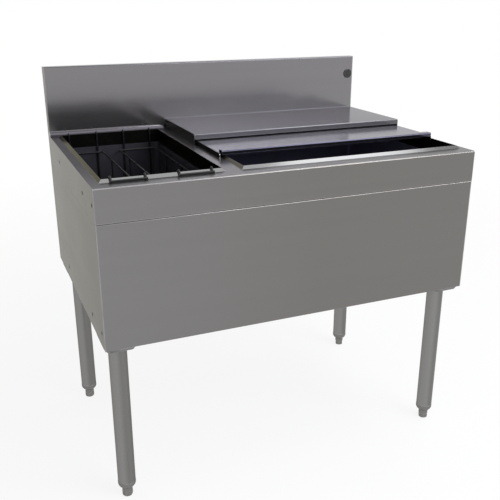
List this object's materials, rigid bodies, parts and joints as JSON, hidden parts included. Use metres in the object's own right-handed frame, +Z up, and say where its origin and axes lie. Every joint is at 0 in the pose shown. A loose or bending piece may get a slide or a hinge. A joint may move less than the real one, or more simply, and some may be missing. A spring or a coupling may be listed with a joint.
{
  "type": "bar sink with ice bin",
  "caption": "Stainless underbar unit with a covered ice bin beside a drained bottle well holding wire racks, raised rims, a backsplash and tubular legs on screw feet.",
  "frame": {"origin": "on the floor, under the middle of the unit's width and depth", "axes": "+X to the right along the front, +Y from the front to the wall, +Z up"},
  "size_m": [0.9144, 0.6096, 0.9398],
  "materials": {
    "stainless_skin": "satin",
    "galvanised_steel": "matte",
    "stainless_liner": "satin",
    "drain_steel": "satin",
    "gasket_rubber": "matte",
    "foam": "matte",
    "leg_steel": "satin",
    "foot_steel": "satin",
    "coated_wire": "satin",
    "black_plastic": "matte"
  },
  "bodies": {
    "cabinet": {"deck_top": "stainless_skin", "well_rim": "stainless_skin", "bin_rim": "stainless_skin", "backsplash": "stainless_skin", "backsplash_end_left": "stainless_skin", "backsplash_end_right": "stainless_skin", "front_panel": "stainless_skin", "side_panel_left": "stainless_skin", "side_panel_right": "stainless_skin", "rear_panel": "galvanised_steel", "bottom_panel": "galvanised_steel", "well_liner": "stainless_liner", "bin_liner": "stainless_liner", "foam_insulation": "foam", "deck_stiffener": "galvanised_steel", "leg_channel_left": "galvanised_steel", "leg_channel_right": "galvanised_steel", "well_drain": "drain_steel", "bin_drain": "drain_steel", "drain_gaskets": "gasket_rubber", "drain_locknuts": "drain_steel", "drain_strainers": "drain_steel", "leg_inserts": "foot_steel", "gusset_front_left": "leg_steel", "leg_front_left": "leg_steel", "gusset_front_right": "leg_steel", "leg_front_right": "leg_steel", "gusset_rear_left": "leg_steel", "leg_rear_left": "leg_steel", "gusset_rear_right": "leg_steel", "leg_rear_right": "leg_steel"},
    "front_cover": {"front_cover": "stainless_skin"},
    "rear_cover": {"rear_cover": "stainless_skin"},
    "bottle_rack_left": {"bottle_rack_left": "coated_wire"},
    "bottle_rack_right": {"bottle_rack_right": "coated_wire"},
    "hose_hole_plug": {"hose_hole_plug": "black_plastic"},
    "foot_front_left": {"foot_front_left": "foot_steel"},
    "foot_front_right": {"foot_front_right": "foot_steel"},
    "foot_rear_left": {"foot_rear_left": "foot_steel"},
    "foot_rear_right": {"foot_rear_right": "foot_steel"}
  },
  "joints": [
    {"name": "front_cover_slide", "type": "slide", "parent": "cabinet", "child": "front_cover", "axis": [0, 1, 0], "range_m": [-0.128, 0.112]},
    {"name": "rear_cover_lift", "type": "slide", "parent": "cabinet", "child": "rear_cover", "axis": [0, 0, 1], "range_m": [0, 0.12]},
    {"name": "rack_left_lift", "type": "slide", "parent": "cabinet", "child": "bottle_rack_left", "axis": [0, 0, 1], "range_m": [0, 0.29]},
    {"name": "rack_right_lift", "type": "slide", "parent": "cabinet", "child": "bottle_rack_right", "axis": [0, 0, 1], "range_m": [0, 0.29]},
    {"name": "plug_pull", "type": "slide", "parent": "cabinet", "child": "hose_hole_plug", "axis": [0, -1, 0], "range_m": [0, 0.03]},
    {"name": "foot_front_left_screw", "type": "slide", "parent": "cabinet", "child": "foot_front_left", "axis": [0, 0, 1], "range_m": [-0.025, 0.012]},
    {"name": "foot_front_right_screw", "type": "slide", "parent": "cabinet", "child": "foot_front_right", "axis": [0, 0, 1], "range_m": [-0.025, 0.012]},
    {"name": "foot_rear_left_screw", "type": "slide", "parent": "cabinet", "child": "foot_rear_left", "axis": [0, 0, 1], "range_m": [-0.025, 0.012]},
    {"name": "foot_rear_right_screw", "type": "slide", "parent": "cabinet", "child": "foot_rear_right", "axis": [0, 0, 1], "range_m": [-0.025, 0.012]}
  ]
}
